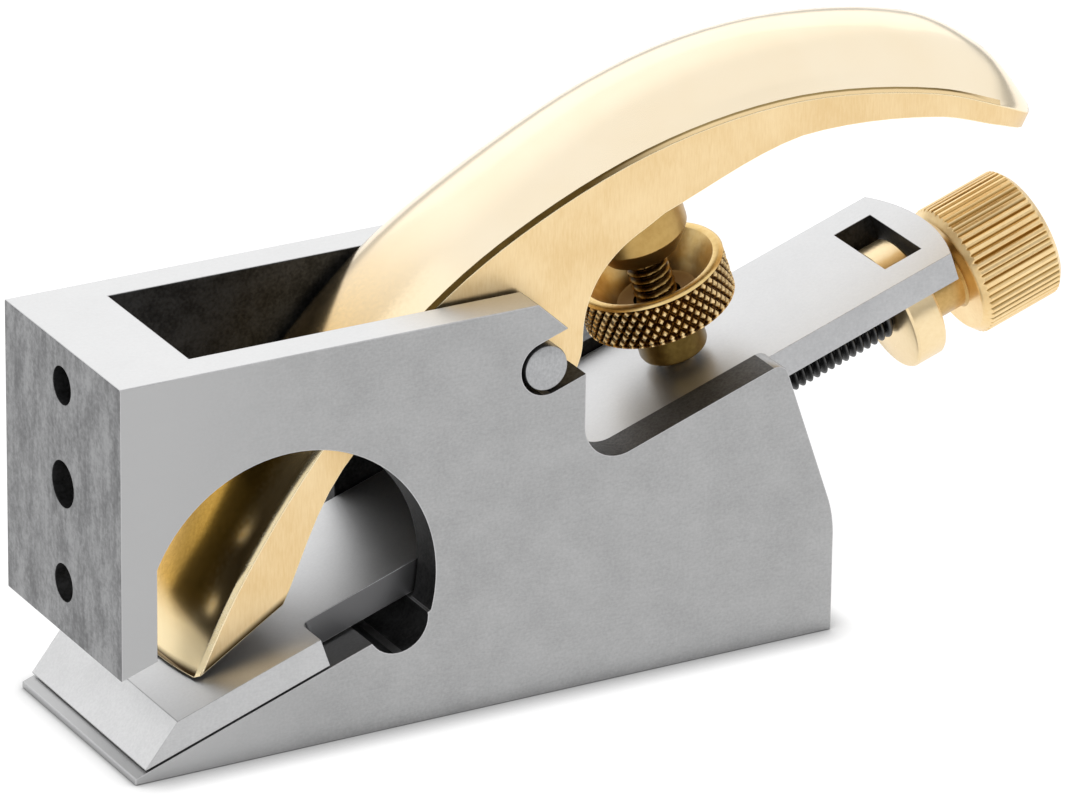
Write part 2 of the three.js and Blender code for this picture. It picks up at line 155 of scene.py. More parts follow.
# %% Node trees
class NodeTree:
    def __init__(self, tree):
        self.tree = tree

    def feed(self, socket, value):
        if isinstance(value, Channel):
            self.tree.links.new(value.socket, socket)
        else:
            socket.default_value = value

    def add(self, kind, settings=None, inputs=None, output=0):
        node = self.tree.nodes.new(kind)
        for key, value in (settings or {}).items():
            setattr(node, key, value)
        for key, value in (inputs or {}).items():
            self.feed(node.inputs[key], value)
        return Channel(self, node.outputs[output])

    def dot(self, vector, direction):
        """How far a vector reaches along a direction."""
        inputs = {0: vector, 1: tuple(direction)}
        return self.add("ShaderNodeVectorMath", {"operation": "DOT_PRODUCT"}, inputs, "Value")

    def ray(self, kind):
        """1 for rays of one kind, such as Camera or Glossy, and 0 for all others."""
        return self.add("ShaderNodeLightPath", output=f"Is {kind} Ray")

# %% [markdown]
# A Finish is the node tree of one material. Its patterns read Object coordinates, so they keep their size in
# millimetres on every piece and travel with the piece when it moves. What is the same all over a surface is set on
# the shader itself.

# %% Finishes
class Finish(NodeTree):
    made = 0

    def __init__(self, name, **constants):
        Finish.made += 1
        self.material = bpy.data.materials.new(name)
        self.material.use_nodes = True
        super().__init__(self.material.node_tree)
        self.shader = self.tree.nodes["Principled BSDF"]
        for socket, value in constants.items():
            self.set(socket.replace("_", " "), value)

    def set(self, socket, value):
        self.feed(self.shader.inputs[socket], value)

    def place(self, scale=(1, 1, 1)):
        """Object coordinates, stretched so that a pattern can run along one axis."""
        where = self.add("ShaderNodeTexCoord", output="Object")
        return self.add("ShaderNodeMapping", inputs={"Vector": where, "Scale": scale})

    def along(self, direction, start=origin):
        """How many millimetres a point lies past start, measured along direction."""
        return self.dot(self.place(), direction / MM) - start.dot(direction)

    def noise(self, size, detail=4, scale=(1, 1, 1), roughness=0.55):
        """Cloudy values from 0 to 1, with clouds about size millimetres wide."""
        inputs = {"Vector": self.place(scale), "Scale": 1 / (size * MM), "Detail": detail, "Roughness": roughness}
        return self.add("ShaderNodeTexNoise", inputs=inputs)

    def blend(self, share, low, high):
        """A colour between low and high, each of them three numbers or the result of another blend."""
        low, high = (end if isinstance(end, Channel) else (*end, 1) for end in (low, high))
        first_colour, second_colour, colour_out = 6, 7, 2
        inputs = {"Factor": share, first_colour: low, second_colour: high}
        return self.add("ShaderNodeMix", {"data_type": "RGBA"}, inputs, colour_out)

    def hollow(self):
        """How deep a point lies in a thread, knurl or flute, from 0 on the crests to 1."""
        return self.add("ShaderNodeAttribute", {"attribute_name": "hollow"}, output="Fac")

    def relief(self, height, depth):
        """Fine relief that only turns the light: height runs from 0 to 1, and depth is in millimetres."""
        bump = self.add("ShaderNodeBump", inputs={"Height": height, "Distance": depth * MM, "Strength": 1.0})
        self.set("Normal", bump)

# %% [markdown]
# The body is one block of steel, ground on its outer faces. Grinding leaves scratches finer than the eye can
# follow, and what shows is a soft grey with cloudy patches. Long thin noise gives the scratches as relief, and
# larger clouds change the colour and the roughness a little. The front face was left from the mill: it is
# darker, with upright stains.

# %% How steel is finished
def ground_steel(name, dark, light, along=(1, 12, 12), rough=(0.34, 0.46), front=None):
    """Steel with scratches along one axis. Front is light or shade painted at the front end: how far back it goes,
    how softly, and its tone.
    """
    finish = Finish(name, Metallic=1.0)
    clouds = finish.noise(7, detail=6, roughness=0.62)
    grain = finish.noise(0.35, detail=3)
    scratches = finish.noise(0.9, detail=3, scale=along)
    skin = finish.blend((clouds * 0.4 + grain * 0.35 + scratches * 0.25).above(0.5, 0.22), dark, light)
    if front:
        # painted light or shade: the front end gets its own tone, blended over the steel's
        end, softness, tone = front
        skin = finish.blend(finish.along(to_heel).above(end, softness), tone, skin)
    finish.set("Base Color", skin)
    finish.set("Roughness", rough[0] + (rough[1] - rough[0]) * (clouds * 0.5 + scratches * 0.5))
    finish.relief(scratches * 0.7 + grain * 0.3, 0.012)
    return finish.material


def milled_steel(name, dark, light):
    """Steel as the cutter left it, with upright stains and specks of old oil."""
    finish = Finish(name, Metallic=1.0)
    stains = finish.noise(5, detail=7, scale=(1, 1.6, 0.7), roughness=0.66)
    specks = finish.noise(0.6, detail=5, roughness=0.7)
    cutter = finish.noise(0.6, detail=2, scale=(1, 1, 0.08))
    share = stains * 0.5 + specks * 0.38 + cutter * 0.12
    finish.set("Base Color", finish.blend(share.above(0.5, 0.13), dark, light))
    finish.set("Roughness", 0.42 + 0.2 * specks)
    finish.relief(specks * 0.7 + cutter * 0.3, 0.03)
    return finish.material


def blackened(name, tone, rough=0.5, cloud=3, crest=0.0):
    """Steel blackened in oil. Crest is the tone to which the crests of a thread are worn."""
    finish = Finish(name, Metallic=0.85)
    clouds = finish.noise(cloud, detail=5)
    specks = finish.noise(0.4, detail=3)
    low, high = (tone * 0.5,) * 3, (tone * 2, tone * 2.03, tone * 2.1)
    skin = finish.blend((clouds * 0.55 + specks * 0.45).above(0.5, 0.2), low, high)
    if crest:
        skin = finish.blend((1 - finish.hollow()).above(0.75, 0.2), skin, (crest, crest, crest))
    finish.set("Base Color", skin)
    finish.set("Roughness", rough - 0.1 + 0.25 * clouds)
    finish.relief(specks, 0.02)
    return finish.material

# %% [markdown]
# The same steel looks different on every face. The cheeks are painted lighter towards the front, as light falling
# there. The top and the blade are lapped bright, and the top and the blade's bevel are painted lighter still as a
# highlight. The insides, the notch and the inner end of the shank's side are painted dark as shade. The pin was
# turned, so its scratches run round it.

# %% Steel finishes
cheek_light = (0.47, 0.471, 0.473)
lapped, oily = (0.36, 0.46), (0.42, 0.55)
# the cheeks' front end is painted lighter, as light falling on it
body_steel = ground_steel("body_steel", (0.345, 0.346, 0.348), cheek_light, front=(-30, 14, cheek_light))
# ground steel, painted brighter than the cheeks as a highlight
top_steel_painted_highlight = ground_steel("top_steel_painted_highlight", (0.66, 0.661, 0.663), (0.72, 0.721, 0.723))
edge_steel = ground_steel("edge_steel", (0.46, 0.46, 0.465), (0.58, 0.58, 0.585), rough=(0.28, 0.38))
body_front = milled_steel("milled_steel", (0.16, 0.161, 0.164), (0.36, 0.362, 0.366))
# painted shade: black for the insides of holes, window and slots
painted_shade_black = blackened("painted_shade_black", tone=0.04)
# painted shade: the notch lies in the shadow of the thumb wheel and lever cap
notch_painted_shade = ground_steel("notch_painted_shade", (0.07, 0.071, 0.073), (0.2, 0.202, 0.206), rough=oily)
blade_steel = ground_steel("blade_steel", (0.64, 0.642, 0.646), (0.71, 0.712, 0.716), rough=lapped)
# painted highlight: the bevel is a lighter copy of the blade's steel
bevel_steel_painted_highlight = ground_steel("bevel_steel_painted_highlight", (0.66, 0.662, 0.666), (0.80, 0.802, 0.806), rough=lapped)
blade_side = ground_steel("blade_side", (0.50, 0.502, 0.506), (0.62, 0.622, 0.626), rough=lapped)
# painted shade: darker than the blade's side, and dark where it runs inside the body
shank_side_painted_shade = ground_steel(
    "shank_side_painted_shade", (0.42, 0.422, 0.43), (0.54, 0.543, 0.55), rough=lapped, front=(-3, 4, (0.15, 0.15, 0.153))
)
pin_steel = ground_steel("pin_steel", (0.33, 0.333, 0.34), (0.52, 0.524, 0.532), along=(6, 12, 2))
thread_black = blackened("thread_black", tone=0.01, rough=0.4, cloud=1.5, crest=0.09)
steel_made = Finish.made
print("steel finishes made:", steel_made)

# %% [markdown]
# Brass is a yellow metal whose colour is in its reflection, so Base Color carries the yellow and Metallic is 1.
# Where no hand or cloth reaches, it goes brown in the hollows of a knurl. The bottom of the wheel's dish is painted
# dark as shade, and the foot of the lever cap, next to the blade, is painted dark as a contact shadow.

# %% How brass is finished
blade_top = 4.2
dish_shade = 13.3
nose_relief = math.radians(13.5)
nose_edge = toe + 12.3 * along_bed + blade_top * off_bed
relief_up = math.cos(nose_relief) * off_bed - math.sin(nose_relief) * along_bed
# painted shadow: the dark brown where the lever cap meets the blade
contact_shadow_brown = (0.05, 0.026, 0.006)


def brass(name, dark, light, rough, depth=0.004, grain=0.5, along=(1, 1, 1), hollows=None, deep=None, foot_shadow=False):
    """Clouded brass. Hollows and deep are the tones of a pattern's grooves and of the shade painted at the bottom of
    the wheel's dish.
    """
    finish = Finish(name, Metallic=1.0)
    clouds = finish.noise(7, detail=5)
    lines = finish.noise(grain, detail=4, scale=along)
    skin = finish.blend((clouds * 0.6 + lines * 0.4).above(0.5, 0.25), dark, light)
    if hollows:
        skin = finish.blend(finish.hollow().above(0.38, 0.3), skin, hollows)
    # painted shade: darker at the bottom of the wheel's dish
    if deep:
        skin = finish.blend(finish.along(off_bed, toe).above(dish_shade, 1.1), deep, skin)
    # painted contact shadow along the foot of the lever cap, next to the blade
    if foot_shadow:
        clear = finish.along(relief_up, nose_edge).above(0.55, 0.45)
        behind = finish.along(along_bed, toe).above(30, 3)
        skin = finish.blend(clear + behind - clear * behind, contact_shadow_brown, skin)
    finish.set("Base Color", skin)
    finish.set("Roughness", rough[0] + (rough[1] - rough[0]) * (clouds * 0.4 + lines * 0.6))
    finish.relief(lines, depth)
    return finish.material

# %% [markdown]
# The crown of the lever cap is buffed almost to a mirror where the hand and the buff reach it. Down inside the
# body, past a point a little before the middle, it keeps a brown patina and is painted darker brown as the
# reflection of the body's dark inside, with painted gold highlights along its edges and near the blade, and its
# nose is painted pale as light. Right against the blade it is painted dark as a contact shadow.

# %% The buffed crown
def buffed_crown():
    finish = Finish("buffed_crown", Metallic=1.0)
    clouds = finish.noise(11, detail=4)
    specks = finish.noise(0.5, detail=3)
    reached = finish.along(to_heel, -11 * to_heel).above(0, 14)
    from_middle = finish.along(to_far_side)
    rise = finish.along(off_bed, toe)

    buffed = finish.blend(clouds, (0.93, 0.78, 0.55), (0.98, 0.87, 0.68))
    # partly patina, partly painted reflection of the body's dark inside
    patina_and_dark_reflection = finish.blend(specks, (0.50, 0.27, 0.03), (0.78, 0.47, 0.09))
    gold = finish.blend(specks, (0.84, 0.58, 0.23), (0.95, 0.72, 0.37))
    # painted highlight: gold along the edges and near the blade
    painted_gold_highlight = (from_middle * from_middle + 30 * specks).above(52, 26) + (1 - rise.above(blade_top + 4.5, 2.5))
    inside = finish.blend(painted_gold_highlight.above(0.5, 0.5), patina_and_dark_reflection, gold)
    # painted light: the nose is pale
    inside = finish.blend(rise.above(blade_top + 4, 2.5), (0.99, 0.81, 0.49), inside)
    skin = finish.blend(reached, inside, buffed)
    # painted shadow: dark right against the blade
    skin = finish.blend(rise.above(blade_top + 0.65, 0.35), contact_shadow_brown, skin)

    finish.set("Base Color", skin)
    finish.set("Roughness", 0.19 - 0.05 * reached + 0.05 * clouds)
    finish.relief(finish.noise(1.5, detail=2), 0.002)
    return finish.material


crown_brass = buffed_crown()
print(crown_brass.name, "has", len(crown_brass.node_tree.nodes), "nodes")

# %% [markdown]
# Between crown and side runs a small chamfer. Its tones are painted reflection and highlight: it is bright in the
# body's window, dark over the body, and a thin dark line along the tail, which fades out before the end. The line
# is drawn in bands, each with its own tone, and run is the place along the body where one band gives way to the
# next.

# %% The crown's arris
def lever_arris():
    finish = Finish("arris_painted_reflection", Metallic=1.0)
    specks = finish.noise(0.8, detail=4)
    run = finish.along(to_heel)
    from_middle = finish.along(to_far_side)
    painted_highlight_line = (0.87, 0.66, 0.37)

    # painted highlight: the arris is bright in the body's window
    painted_gold_highlight = finish.blend(specks, (0.84, 0.66, 0.36), (0.97, 0.85, 0.58))
    # painted reflection: the dark line over the body and along the tail
    dark = finish.blend(specks, (0.05, 0.028, 0.006), (0.14, 0.085, 0.022))
    faint = finish.blend(specks, (0.26, 0.18, 0.07), (0.40, 0.29, 0.12))
    line = finish.blend(run.above(24, 6), dark, finish.blend(run.above(60, 6), faint, dark))
    # painted highlight along the outermost edge and where the line ends at the tail
    outer = (from_middle * from_middle).above(80.8, 1.2) * run.above(22, 8)
    line = finish.blend(outer, line, painted_highlight_line)
    line = finish.blend(run.above(64.5, 3), line, painted_highlight_line)

    finish.set("Base Color", finish.blend(run.above(-12, 3), painted_gold_highlight, line))
    finish.set("Roughness", 0.2 + 0.12 * specks)
    return finish.material


arris_painted_reflection = lever_arris()
print(arris_painted_reflection.name, "has", len(arris_painted_reflection.node_tree.nodes), "nodes")

# %% [markdown]
# The sides of the lever cap are drawn on a belt and stay satin, with fine upright lines. The turned pieces are
# smoother, and bright where fingers turn them. The boss, hubs, necks, the stud and the undersides are painted brown
# as shade.

# %% Brass finishes
side_brass = brass(
    "side_brass", (0.79, 0.56, 0.275), (0.93, 0.72, 0.42), (0.30, 0.42),
    depth=0.012, grain=1.0, along=(5, 1, 0.7), foot_shadow=True,
)
edge_brass = brass("edge_brass", (0.90, 0.72, 0.43), (0.97, 0.84, 0.58), (0.2, 0.3))
shaded_brass = brass("shaded_brass", (0.40, 0.24, 0.07), (0.56, 0.37, 0.13), (0.28, 0.40), grain=0.8)
# painted shade: the lever cap's underside, seen reflected in the blade
underside_painted_shade = brass("underside_painted_shade", (0.05, 0.03, 0.01), (0.12, 0.075, 0.025), (0.4, 0.55))
wheel_brass = brass(
    "wheel_brass", (0.66, 0.44, 0.18), (0.92, 0.70, 0.38), (0.20, 0.32), hollows=(0.085, 0.034, 0.005)
)
# the bottom of the dish is painted dark as shade
dish_brass = brass(
    "dish_brass", (0.74, 0.50, 0.18), (0.95, 0.74, 0.37), (0.26, 0.40),
    depth=0.02, grain=0.8, deep=(0.12, 0.06, 0.015),
)
# painted shade: the hub under the wheel and the lever cap's underside over it
hub_painted_shade = brass("hub_painted_shade", (0.15, 0.09, 0.02), (0.33, 0.22, 0.06), (0.24, 0.36), depth=0.01, grain=0.8)
# painted shade: the stud stands in the shade of the boss and the wheel's dish
stud_painted_shade = brass(
    "stud_painted_shade", (0.24, 0.145, 0.045), (0.42, 0.28, 0.10), (0.2, 0.32), hollows=(0.03, 0.014, 0.003)
)
collar_brass = brass("collar_brass", (0.84, 0.64, 0.35), (0.93, 0.75, 0.47), (0.24, 0.34))
knob_brass = brass(
    "knob_brass", (0.86, 0.60, 0.28), (0.98, 0.76, 0.42), (0.24, 0.36), hollows=(0.46, 0.28, 0.085)
)
# painted shade: the neck and the inner corner of the knob's front face
neck_painted_shade = brass("neck_painted_shade", (0.44, 0.27, 0.09), (0.62, 0.41, 0.16), (0.26, 0.38))
print("brass finishes made:", Finish.made - steel_made)

# %% [markdown]
# Where the CAD shape is right, a piece starts as a merged copy of it. The triangles of each flat face are joined
# into one face, so that a bevel finds only the real edges. Every face then gets one of the piece's finishes, picked
# by where the face lies and which way it looks.

# %% Copies and their finishes
merge_distance = 0.002 * MM
soft_edge = 32


def only(piece):
    bpy.ops.object.select_all(action="DESELECT")
    piece.select_set(True)
    bpy.context.view_layer.objects.active = piece


def copy_of(node, flatness=0.2):
    """A merged copy of a CAD node. Faces that meet at less than flatness, in degrees, become one."""
    only(nodes[node])
    bpy.ops.object.duplicate()
    copy = bpy.context.object
    copy.name = node + "_dressed"
    copy.data.materials.clear()
    bpy.ops.object.mode_set(mode="EDIT")
    bpy.ops.mesh.select_all(action="SELECT")
    bpy.ops.mesh.remove_doubles(threshold=merge_distance)
    bpy.ops.mesh.dissolve_limited(angle_limit=math.radians(flatness))
    bpy.ops.object.mode_set(mode="OBJECT")
    print(node, "merged to", len(copy.data.polygons), "faces")
    return copy


def paint(piece, *finishes, choose=None):
    """Puts the finishes in the piece's slots. Choose picks one of them from a face's centre and normal."""
    for finish in finishes:
        piece.data.materials.append(finish)
    if choose:
        for face in piece.data.polygons:
            face.material_index = finishes.index(choose(face.center / MM, face.normal))

# %% [markdown]
# On the real object every edge is broken with a stone, and that narrow bevel is what catches the light. A weighted
# normal keeps the faces beside it flat. At a stained face or a face painted dark as shade, such as a hole painted
# black, the edge is as dark as the face, and on the buffed crown it is as bright, so there the bevel keeps the
# face's own finish. The finished piece stands for its CAD node and rides on that node's body.

# %% Broken edges
def break_edges(piece, width, finish, keep=()):
    """Bevels the sharp edges. The bevel takes its own finish, but beside a finish in keep it takes that one."""
    only(piece)
    slots = piece.data.materials
    slots.append(finish)
    bright = len(slots) - 1
    kept_slots = {slots.find(kept.name) for kept in keep}
    bevel = piece.modifiers.new("broken_edges", "BEVEL")
    bevel.width = width * MM
    bevel.segments = 2
    bevel.limit_method = "ANGLE"
    bevel.angle_limit = math.radians(28)
    bevel.use_clamp_overlap = False
    bevel.material = bright
    bpy.ops.object.modifier_apply(modifier=bevel.name)
    beside = {}
    for face in piece.data.polygons:
        for key in face.edge_keys:
            beside.setdefault(key, set()).add(face.material_index)
    for face in piece.data.polygons:
        around = set().union(*(beside[key] for key in face.edge_keys)) - {bright}
        if face.material_index == bright and around and around <= kept_slots:
            face.material_index = min(around)
    bpy.ops.object.shade_smooth_by_angle(angle=math.radians(soft_edge))
    weighted = piece.modifiers.new("flat_faces_stay_flat", "WEIGHTED_NORMAL")
    weighted.keep_sharp = True
    bpy.ops.object.modifier_apply(modifier=weighted.name)
    print(piece.name, "has", len(piece.data.polygons), "faces with its edges broken")


def stands_for(piece, node, body):
    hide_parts(node)
    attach(piece, body)

# %% [markdown]
# The body is cut through by a round window with a small relief at its corner, by the slots for the lever cap and
# its pin, and by three holes in the front. All of these are painted black inside as shade. The front is as milled,
# the notch behind the lever cap is painted dark as the shade of the thumb wheel and lever cap, and the top is
# ground and painted brighter than the cheeks as a highlight.

# %% Body
window, window_radius = Vector((-25.1, 18.0)), 18.3
corner_relief, corner_radius = Vector((-11.75, 12.88)), 3.9
hole_rises, hole_radius, hole_end = (42.8, 31.0, 19.1), 2.9, -35
notch_front, notch_back, notch_low, notch_high = 50, 86, 4.6, 9
pin_slot_rise, pin_slot_half, pin_slot_front = 20.35, 3.4, 57.5
inner_cheek, slot_half, slot_front, slot_floor = 9, 10.1, -35.6, 3
top_low, front_face, rear_face = 40, -45.5, 37.5


def body_face(centre, normal):
    run, rise = over_bed(centre)
    flat = Vector((centre.x, centre.z))
    off_middle = abs(centre.y)
    to_hole = max(off_middle, min(abs(centre.z - hole_rise) for hole_rise in hole_rises))
    # painted shade: the walls of the front holes are black
    if abs(normal.x) < 0.5 and centre.x < hole_end and to_hole < hole_radius:
        return painted_shade_black
    in_notch = notch_front < run < notch_back and notch_low < rise < notch_high
    # painted shade under the thumb wheel and lever cap
    if normal.dot(off_bed) > 0.3 and in_notch and off_middle > inner_cheek:
        return notch_painted_shade
    # the top is painted brighter as a highlight
    if normal.z > 0.98:
        return top_steel_painted_highlight if centre.z > top_low else body_steel
    if normal.dot(off_bed) > 0.99 and abs(rise) < 0.2:
        return body_steel
    in_window = (flat - window).length < window_radius and rise > -0.5 and run > 1.5
    in_relief = (flat - corner_relief).length < corner_radius
    in_pin_slot = abs(rise - pin_slot_rise) < pin_slot_half and run > pin_slot_front
    # painted shade: the walls of the window, its relief and the pin slot are black
    if abs(normal.y) < 0.5 and (in_window or in_relief or in_pin_slot):
        return painted_shade_black
    if normal.x > 0.6 and centre.x > rear_face:
        return body_steel
    # painted shade: the walls of the lever cap's slot are black
    if off_middle < slot_half and centre.x > slot_front and centre.z > slot_floor:
        return painted_shade_black
    return body_front if normal.x < -0.9 and centre.x < front_face else body_steel


plane_body = copy_of("plane_body")
paint(plane_body, body_steel, body_front, painted_shade_black, notch_painted_shade, top_steel_painted_highlight, choose=body_face)
break_edges(plane_body, 0.14, edge_steel, keep=(body_front, painted_shade_black, notch_painted_shade))
stands_for(plane_body, "plane_body", "body")

# %% [markdown]
# The blade's upper face is lapped flat and bright, and its sides are ground with the body, so they are greyer. Its
# bevel is painted lighter as a highlight, and the shank's side is painted dark as shade inside the body. Its edges
# are broken very little, because it has to lie flush with the cheeks. The hole for the adjuster is painted black
# inside as shade.

# %% Blade
bevel_end = 12
blade_hole_front, blade_hole_back, blade_hole_half = 104, 114, 6
head_half = 12


def blade_face(centre, normal):
    run, rise = over_bed(centre)
    off_middle = abs(centre.y)
    in_hole = blade_hole_front < run < blade_hole_back and off_middle < blade_hole_half
    # painted shade: the walls of the adjuster's hole are black
    if abs(normal.dot(off_bed)) < 0.5 and in_hole:
        return painted_shade_black
    # the shank's side is painted darker as shade
    if abs(normal.y) > 0.7:
        return blade_side if off_middle > head_half else shank_side_painted_shade
    # the bevel is painted lighter as a highlight
    return bevel_steel_painted_highlight if run < bevel_end and normal.dot(off_bed) < 0.99 else blade_steel


blade = copy_of("blade")
paint(blade, blade_steel, blade_side, shank_side_painted_shade, painted_shade_black, bevel_steel_painted_highlight, choose=blade_face)
break_edges(blade, 0.07, edge_steel, keep=(painted_shade_black,))
stands_for(blade, "blade", "blade")

# %% [markdown]
# The lever cap was lofted along its upper arris in the CAD model. A face belongs to the crown where it looks
# upwards or forwards and isn't a side. The boss round the thumb screw and the undersides are painted darker as
# shade. Where the hollow of the web runs out under the tail, the real casting was filed fair, so a small step there
# is moved into line.

# %% Lever cap
boss_radius, boss_top = 6.6, 25.9
nose_end, tail_front, tail_back = 52, 70, 98
foot_top, arris_out = 4.6, 8.6


def lever_face(centre, normal):
    run, rise = over_bed(centre)
    sideways = abs(normal.y)
    if math.hypot(run - screw_run, centre.y) < boss_radius and rise < boss_top:
        return shaded_brass
    # painted shade: the underside of the nose
    if normal.dot(off_bed) < -0.4 and run < nose_end:
        return underside_painted_shade
    # painted shade: the underside over the wheel
    if normal.dot(off_bed) < -0.6 and tail_front < run < tail_back:
        return hub_painted_shade
    outward = normal.z > 0.15 or (normal.x < -0.35 and centre.x < 0)
    if sideways > 0.985 or not outward or rise < foot_top:
        return side_brass
    return arris_painted_reflection if 0.64 < sideways < 0.76 and abs(centre.y) > arris_out else crown_brass


def file_fair(piece, moves):
    """Moves the points at a run and rise over the bed to another run and rise."""
    for vertex in piece.data.vertices:
        run, rise = over_bed(vertex.co / MM)
        for (old_run, old_rise), (new_run, new_rise) in moves:
            if math.hypot(run - old_run, rise - old_rise) < 0.06:
                vertex.co += ((new_run - run) * along_bed + (new_rise - rise) * off_bed) * MM
                break


lever_cap = copy_of("lever_cap", flatness=0.05)
file_fair(lever_cap, [((79.8, 26.8), (79.44, 26.78)), ((79.63, 27.16), (80.2, 26.92))])
paint(lever_cap, crown_brass, side_brass, arris_painted_reflection, shaded_brass, underside_painted_shade, hub_painted_shade, choose=lever_face)
break_edges(lever_cap, 0.12, edge_brass, keep=(crown_brass, arris_painted_reflection, shaded_brass, underside_painted_shade, hub_painted_shade))
stands_for(lever_cap, "lever_cap", "lever_cap")

# %% [markdown]
# Screws, wheels and knobs are turned on a lathe: a profile of heights and radii is spun about an axis. Threads and
# knurls are pressed into the round afterwards. Each point is moved towards the axis by what the pattern says at
# its turn and height, and how deep it went is kept as an attribute, which the finishes read to darken the grooves.

# %% Turning
def fine(profile, step):
    """The profile, a list of heights and radii, with points no further apart than step."""
    points = [profile[0]]
    for (low, near), (high, far) in zip(profile, profile[1:]):
        count = max(1, math.ceil(math.hypot(high - low, far - near) / step))
        for part in range(1, count + 1):
            share = part / count
            points.append((low + (high - low) * share, near + (far - near) * share))
    return points


def turned(name, profile, around, press=None):
    """Spins a profile in so many steps. Press gives each point's new radius from its radius, turn and height."""
    mesh = bpy.data.meshes.new(name)
    outline = [(radius * MM, 0, height * MM) for height, radius in profile]
    mesh.from_pydata(outline, [(index, index + 1) for index in range(len(outline) - 1)], [])
    piece = bpy.data.objects.new(name, mesh)
    bpy.context.collection.objects.link(piece)
    only(piece)
    bpy.ops.object.mode_set(mode="EDIT")
    bpy.ops.mesh.select_all(action="SELECT")
    bpy.ops.mesh.spin(steps=around, angle=2 * math.pi, center=(0, 0, 0), axis=(0, 0, 1))
    bpy.ops.mesh.select_all(action="SELECT")
    bpy.ops.mesh.remove_doubles(threshold=merge_distance)
    bpy.ops.mesh.normals_make_consistent(inside=False)
    bpy.ops.object.mode_set(mode="OBJECT")
    if press:
        press_in(mesh, press)
    print(name, "turned with", len(mesh.polygons), "faces")
    return piece


def press_in(mesh, press):
    points = np.empty(len(mesh.vertices) * 3)
    mesh.vertices.foreach_get("co", points)
    points = points.reshape(-1, 3)
    radius = np.hypot(points[:, 0], points[:, 1]) / MM
    turn = np.arctan2(points[:, 1], points[:, 0]) / (2 * math.pi)
    pressed = press(radius, turn, points[:, 2] / MM)
    points[:, :2] *= (pressed / np.maximum(radius, 0.001))[:, None]
    mesh.vertices.foreach_set("co", points.ravel())
    depth = radius - pressed
    hollow = mesh.attributes.new("hollow", "FLOAT", "POINT")
    hollow.data.foreach_set("value", (depth / depth.max()).astype(np.float32))
    mesh.update()


def lay(piece, place, smooth=soft_edge):
    """Moves a turned piece to its place on the plane and leaves its object at the origin."""
    only(piece)
    piece.matrix_world = place
    bpy.ops.object.transform_apply(location=True, rotation=True, scale=True)
    bpy.ops.object.shade_smooth_by_angle(angle=math.radians(smooth))


def height_and_radius(centre, place):
    """Where a place on a laid piece was on the lathe."""
    on_lathe = place.inverted() @ (centre * MM) / MM
    return on_lathe.z, math.hypot(on_lathe.x, on_lathe.y)

# %% [markdown]
# The adjuster's rod is threaded over its whole length in front of the collar, and blackened. Its thread is about
# 1 mm in pitch, so one turn of the knob moves the blade 1 mm. Behind the collar a plain spigot carries the knob. A
# wave that climbs to 1 and back to 0, once a turn of the pattern, is enough to write a thread, a knurl or a flute.

# %% Adjuster rod
pitch = 1.0
collar_run = 107.5
rod_radius, rod_start, rod_end = 3.0, 64, collar_run - 0.3
spigot_radius, spigot_end = 2.0, collar_run + 12.6


def wave(phase):
    return 1 - np.abs(2 * (phase - np.floor(phase)) - 1)


def thread(outside, depth, start, end):
    """A thread with slightly flattened crests and roots, which fades in and out over half a turn."""
    def press(radius, turn, height):
        cut = depth * np.clip(1.15 * wave(height / pitch - turn) - 0.08, 0, 1)
        fade = np.clip(np.minimum(height - start, end - height) / (pitch / 2), 0, 1)
        on_thread = (height > start) & (height < end) & (radius > outside - 0.01)
        return np.where(on_thread, radius - cut * fade, radius)
    return press


rod_profile = (
    [(rod_start, 0), (rod_start, 2.6)]
    + fine([(rod_start + 0.4, rod_radius), (rod_end - 0.3, rod_radius)], 0.1)
    + [(rod_end, 2.7), (rod_end, spigot_radius), (spigot_end, spigot_radius), (spigot_end, 0)]
)
adjuster_rod = turned("rod_threaded", rod_profile, 40, thread(rod_radius, 0.55, rod_start, rod_end - 0.4))
lay(adjuster_rod, on_rod_axis, smooth=60)
paint(adjuster_rod, thread_black)
stands_for(adjuster_rod, "adjuster_rod", "adjuster")

# %% [markdown]
# The stud of the thumb screw has the same kind of thread. Below it is a plain tip, which bears on the blade, and
# its upper end stands in the dish of the wheel. It is painted dark brown as the shade there, and its grooves are
# almost black.

# %% Thumb stud
stud_radius, stud_tip, stud_top = 2.5, 4.2, 24.6
stud_profile = (
    [(stud_tip, 0), (stud_tip, 1.5), (stud_tip + 0.1, 1.75), (stud_tip + 0.4, 1.9), (stud_tip + 2.2, 1.9)]
    + fine([(stud_tip + 2.6, stud_radius), (stud_top - 0.35, stud_radius)], 0.1)
    + [(stud_top, 2.15), (stud_top, 0)]
)
thumb_stud = turned("stud_threaded", stud_profile, 36, thread(stud_radius, 0.5, stud_tip + 2.6, stud_top - 0.4))
lay(thumb_stud, on_screw_axis, smooth=60)
paint(thumb_stud, stud_painted_shade)
stands_for(thumb_stud, "thumb_stud", "thumb_stud")

# %% [markdown]
# A diamond knurl is two threads of many starts, one leaning each way. What is left between their grooves is a
# pyramid. The lower of the two waves at a point is the height of the pyramid there. Above the knurl the rim has
# a plain ring, and inside it a dish.

